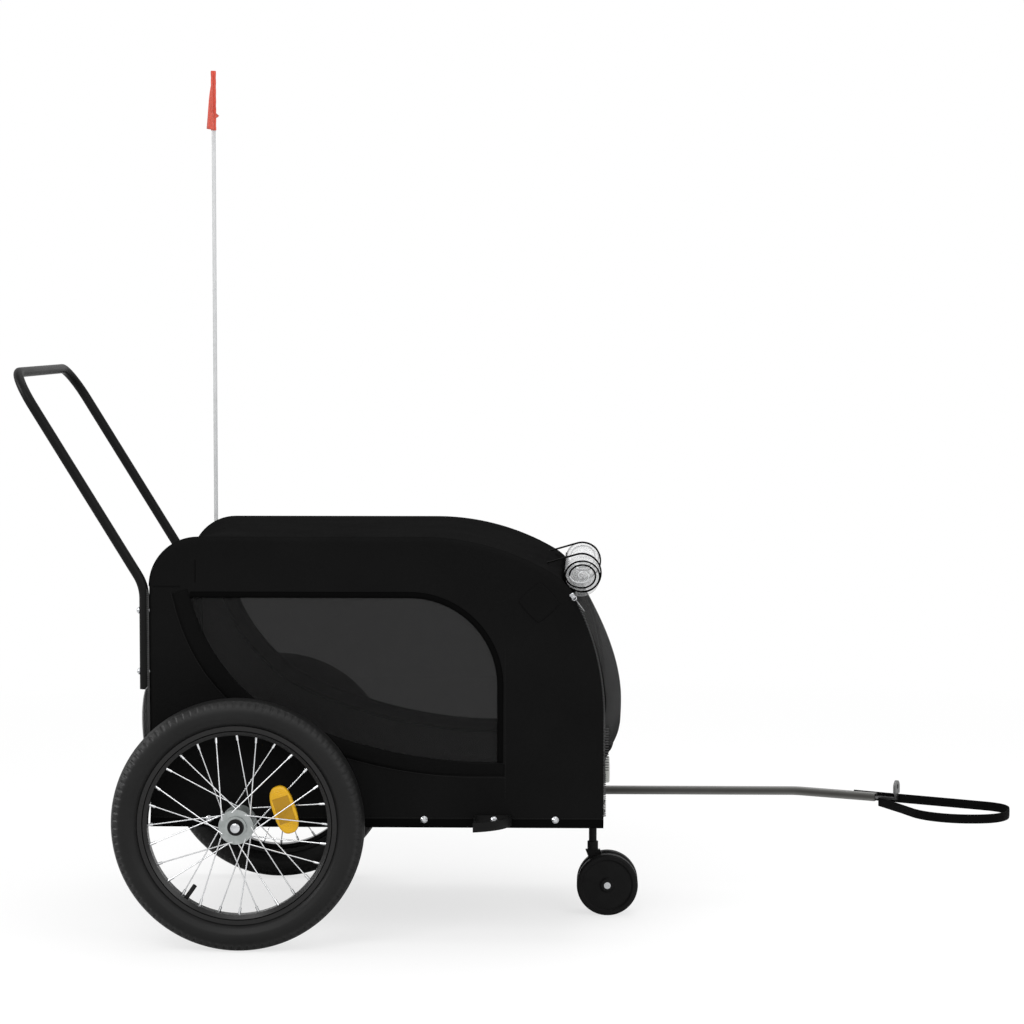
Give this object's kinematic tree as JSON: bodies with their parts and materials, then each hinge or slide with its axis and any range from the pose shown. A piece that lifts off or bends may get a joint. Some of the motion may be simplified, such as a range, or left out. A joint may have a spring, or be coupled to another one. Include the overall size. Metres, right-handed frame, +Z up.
{
  "type": "dog bike trailer",
  "caption": "Dog trailer for a bicycle: cloth cabin on a tube frame with mesh windows and doors, spoked wheels, caster, push handle, tow arm, rolled rain cover and flag.",
  "frame": {"origin": "on the ground, at the middle of the overall box", "axes": "+X forwards along the tow arm, +Y to the trailer's left, +Z up"},
  "size_m": [1.6158, 0.7172, 1.425],
  "materials": {
    "black_paint": "satin black",
    "grey_paint": "grey primer",
    "zinc": "bright zinc",
    "spoke_steel": "bright",
    "hub_metal": "dull",
    "bearing_steel": "dark seals",
    "tyre_rubber": "matt",
    "tube_rubber": "matt",
    "rim_metal": "anodised black",
    "cover_cloth": "woven, coated",
    "mesh_cloth": "fine mesh",
    "webbing": "woven webbing",
    "clear_sheet": "clear soft sheet",
    "black_plastic": "moulded",
    "floor_sheet": "board",
    "caster_plastic": "moulded",
    "amber_lens": "clear amber",
    "white_lens": "clear white",
    "pole_white": "glass fibre",
    "flag_red": "bright orange red"
  },
  "bodies": {
    "frame": {"base_rail_right": "black_paint", "base_rail_left": "black_paint", "base_crossbars": "black_paint", "side_hoop_right": "black_paint", "side_hoop_left": "black_paint", "roof_crossbars": "black_paint", "wheel_guard_right": "black_paint", "wheel_guard_left": "black_paint", "handle_tube": "black_paint", "caster_post": "black_paint", "tow_arm": "grey_paint", "frame_bolts": "zinc", "handle_bolts": "zinc", "tow_arm_bolts": "zinc", "coupling_tongue": "zinc", "axle_right": "zinc", "axle_left": "zinc", "axle_bushes": "zinc", "zip_pulls": "zinc", "floor_board": "floor_sheet", "side_panel_right": "cover_cloth", "side_panel_left": "cover_cloth", "roof_panel": "cover_cloth", "front_lower_panel": "cover_cloth", "rear_panel": "cover_cloth", "side_window_right": "mesh_cloth", "side_window_left": "mesh_cloth", "rain_cover_roll": "clear_sheet", "rain_cover_ties": "webbing", "safety_strap": "webbing", "handle_plugs": "black_plastic", "flag_holder": "black_plastic", "reflector_base": "black_plastic", "front_reflector": "white_lens"},
    "right_wheel": {"tyre_right": "tyre_rubber", "inner_tube_right": "tube_rubber", "rim_right": "rim_metal", "spokes_right": "spoke_steel", "hub_right": "hub_metal", "hub_bearings_right": "bearing_steel", "wheel_reflector_right": "amber_lens"},
    "right_axle_button": {"axle_button_right": "zinc"},
    "left_wheel": {"tyre_left": "tyre_rubber", "inner_tube_left": "tube_rubber", "rim_left": "rim_metal", "spokes_left": "spoke_steel", "hub_left": "hub_metal", "hub_bearings_left": "bearing_steel", "wheel_reflector_left": "amber_lens"},
    "left_axle_button": {"axle_button_left": "zinc"},
    "caster": {"caster_fork": "caster_plastic", "caster_axle": "zinc"},
    "right_caster_wheel": {"caster_wheel_right": "caster_plastic"},
    "left_caster_wheel": {"caster_wheel_left": "caster_plastic"},
    "front_door": {"front_door": "mesh_cloth"},
    "rear_door": {"rear_door": "mesh_cloth"},
    "flag": {"flag_pole": "pole_white", "flag": "flag_red"}
  },
  "joints": [
    {"name": "right_wheel_spin", "type": "hinge", "parent": "frame", "child": "right_wheel", "pos_m": [-0.4389, -0.32, 0.2], "axis": [0, 1, 0], "continuous": true},
    {"name": "right_button_press", "type": "slide", "parent": "frame", "child": "right_axle_button", "axis": [0, 1, 0], "range_m": [0, 0.003], "stiffness_N_per_m": 500, "springref_m": -0.004},
    {"name": "left_wheel_spin", "type": "hinge", "parent": "frame", "child": "left_wheel", "pos_m": [-0.4389, 0.32, 0.2], "axis": [0, 1, 0], "continuous": true},
    {"name": "left_button_press", "type": "slide", "parent": "frame", "child": "left_axle_button", "axis": [0, -1, 0], "range_m": [0, 0.003], "stiffness_N_per_m": 500, "springref_m": -0.004},
    {"name": "caster_swivel", "type": "hinge", "parent": "frame", "child": "caster", "pos_m": [0.1188, 0, 0.121], "axis": [0, 0, 1], "continuous": true},
    {"name": "right_caster_spin", "type": "hinge", "parent": "caster", "child": "right_caster_wheel", "pos_m": [0.1431, -0.018, 0.051], "axis": [0, 1, 0], "continuous": true},
    {"name": "left_caster_spin", "type": "hinge", "parent": "caster", "child": "left_caster_wheel", "pos_m": [0.1431, 0.018, 0.051], "axis": [0, 1, 0], "continuous": true},
    {"name": "front_door_lift", "type": "hinge", "parent": "frame", "child": "front_door", "pos_m": [0.08866, 0, 0.55182], "axis": [0, -1, 0], "range_deg": [0, 35]},
    {"name": "rear_door_lift", "type": "hinge", "parent": "frame", "child": "rear_door", "pos_m": [-0.5849, 0, 0.5614], "axis": [0, 1, 0], "range_deg": [0, 80]},
    {"name": "flag_pole_lift", "type": "slide", "parent": "frame", "child": "flag", "axis": [0, 0, 1], "range_m": [0, 0.06]}
  ]
}
